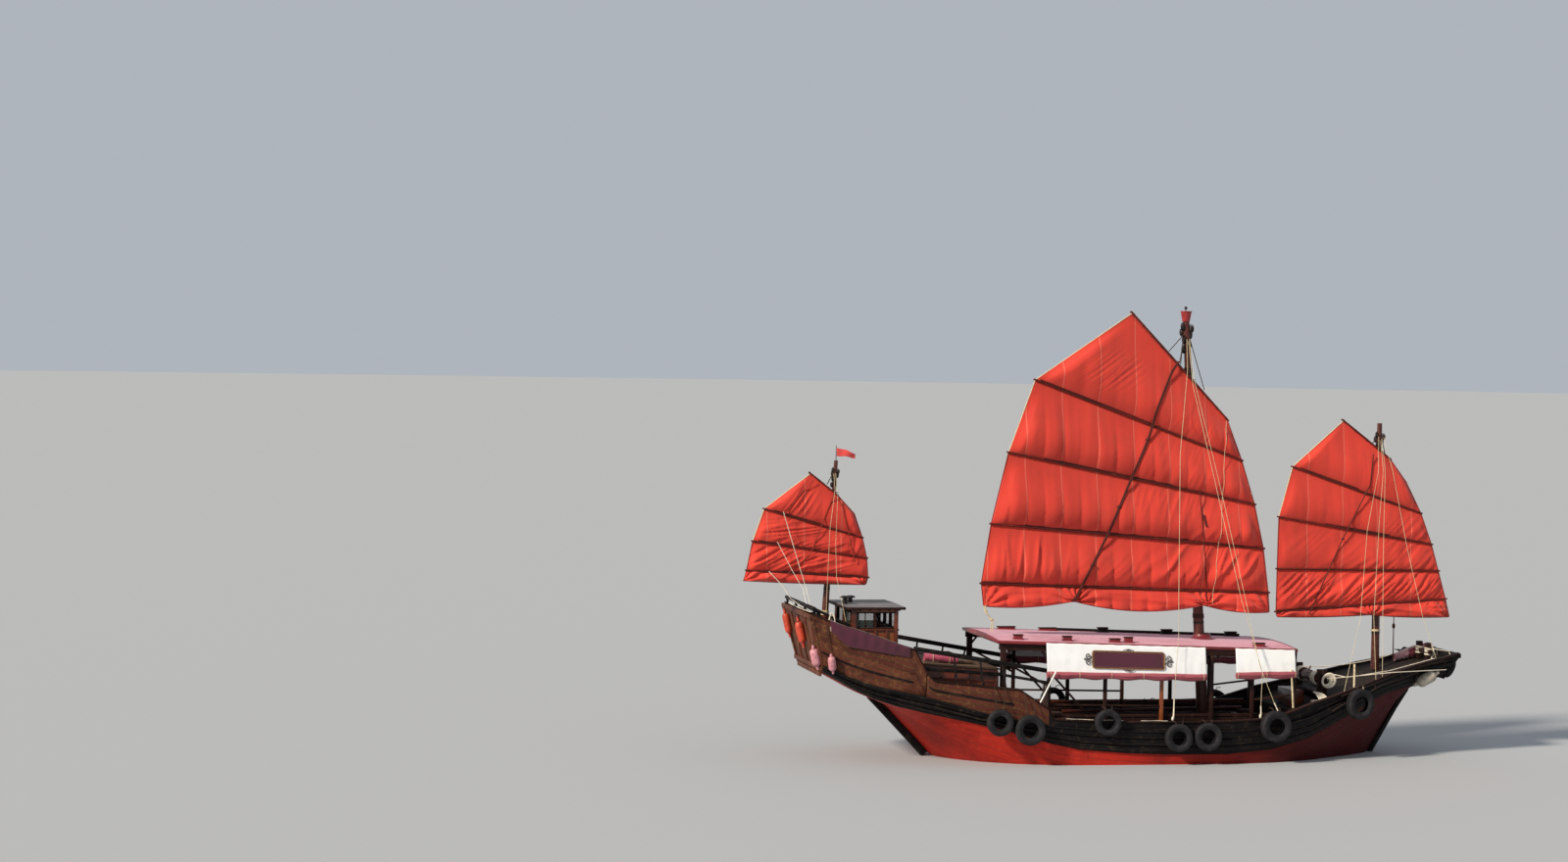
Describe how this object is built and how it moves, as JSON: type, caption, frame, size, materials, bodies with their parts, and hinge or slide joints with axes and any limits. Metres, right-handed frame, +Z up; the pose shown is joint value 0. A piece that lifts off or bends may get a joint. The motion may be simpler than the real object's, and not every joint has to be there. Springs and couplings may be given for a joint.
{
  "type": "chinese junk ship",
  "caption": "Wooden Chinese junk afloat with battened red lugsails, a roofed open waist, a raised poop with a wheelhouse, tyre fenders, a hung rudder and a propeller.",
  "frame": {"origin": "on the ship's centreline at the waterline, amidships", "axes": "+X towards the bow, +Y to port, +Z up; millimetres in the source, metres here"},
  "size_m": [19.5943, 5.576, 13.522],
  "materials": {
    "bottom_paint": "planks under matt red bottom paint",
    "tar_paint": "planks under worn black paint",
    "dark_planking": "oiled dark brown planks",
    "deck_planking": "worn bare deck planks",
    "varnished_wood": "varnished red-brown wood",
    "maroon_paint": "maroon paint on wood",
    "roof_paint": "faded mauve paint on boards",
    "canvas": "off-white canvas",
    "maroon_canvas": "maroon woven canvas",
    "mast_wood": "red-brown painted pole",
    "batten_wood": "dark red-brown poles",
    "sail_cloth": "orange-red woven sailcloth",
    "bronze": "weathered cast bronze"
  },
  "bodies": {
    "ship": {"hull": "bottom_paint", "poop_deck": "deck_planking", "quarter_deck": "deck_planking", "fore_deck": "deck_planking", "waist_deck": "deck_planking", "poop_bulwark_starboard": "dark_planking", "main_bulwark_starboard": "dark_planking", "poop_bulwark_port": "dark_planking", "main_bulwark_port": "dark_planking", "transom": "dark_planking", "canopy_frame_starboard": "dark_planking", "canopy_frame_port": "dark_planking", "handrail_starboard": "dark_planking", "handrail_port": "dark_planking", "windlass_frame": "dark_planking", "wale_starboard": "tar_paint", "wale_port": "tar_paint", "bow_board": "tar_paint", "stem": "tar_paint", "sternpost": "tar_paint", "keel": "tar_paint", "cabin_trunk": "varnished_wood", "wheelhouse_wall_starboard": "varnished_wood", "wheelhouse_wall_port": "varnished_wood", "wheelhouse_wall_front": "varnished_wood", "wheelhouse_wall_aft": "varnished_wood", "helm_stand": "varnished_wood", "bench_starboard": "varnished_wood", "bench_port": "varnished_wood", "bow_bitts": "varnished_wood", "wheelhouse_roof": "maroon_paint", "name_board_starboard": "maroon_paint", "name_board_port": "maroon_paint", "canopy_roof": "roof_paint", "long_side_cloth_starboard": "canvas", "short_side_cloth_starboard": "canvas", "long_side_cloth_port": "canvas", "short_side_cloth_port": "canvas", "poop_dodger_starboard": "maroon_canvas", "poop_dodger_port": "maroon_canvas", "main_mast": "mast_wood", "fore_mast": "mast_wood", "mizzen_mast": "mast_wood", "flag": "sail_cloth"},
    "main_rig": {"main_sail": "sail_cloth", "main_battens": "batten_wood", "main_yard": "batten_wood"},
    "fore_rig": {"fore_sail": "sail_cloth", "fore_battens": "batten_wood", "fore_yard": "batten_wood"},
    "mizzen_rig": {"mizzen_sail": "sail_cloth", "mizzen_battens": "batten_wood", "mizzen_yard": "batten_wood"},
    "rudder_blade": {"rudder": "tar_paint"},
    "screw": {"propeller": "bronze"},
    "steering_wheel": {"helm_wheel": "varnished_wood"},
    "windlass_log": {"windlass_drum": "mast_wood"}
  },
  "joints": [
    {"name": "main_sail_swing", "type": "hinge", "parent": "ship", "child": "main_rig", "pos_m": [2.19, 0, 0.5008], "axis": [-0.0619, 0, 0.9981], "range_deg": [-80, 80]},
    {"name": "fore_sail_swing", "type": "hinge", "parent": "ship", "child": "fore_rig", "pos_m": [6.99, 0, 3], "axis": [0, 0, 1], "range_deg": [-80, 80]},
    {"name": "mizzen_sail_swing", "type": "hinge", "parent": "ship", "child": "mizzen_rig", "pos_m": [-8.25, 0, 2.592], "axis": [0.0581, 0, 0.9983], "range_deg": [-80, 80]},
    {"name": "rudder_turn", "type": "hinge", "parent": "ship", "child": "rudder_blade", "pos_m": [-5.25, 0, -1], "axis": [0, 0, 1], "range_deg": [-35, 35]},
    {"name": "propeller_spin", "type": "hinge", "parent": "ship", "child": "screw", "pos_m": [-4.64, 0, -1.01], "axis": [1, 0, 0], "continuous": true},
    {"name": "helm_wheel_turn", "type": "hinge", "parent": "ship", "child": "steering_wheel", "pos_m": [-6.76, 0, 3.25], "axis": [1, 0, 0], "range_deg": [-540, 540]},
    {"name": "windlass_turn", "type": "hinge", "parent": "ship", "child": "windlass_log", "pos_m": [5.15, 0, 2.06], "axis": [0, 1, 0], "continuous": true}
  ],
  "couplings": [
    {"joint": "helm_wheel_turn", "follows": "rudder_turn", "ratio": 15.429}
  ]
}
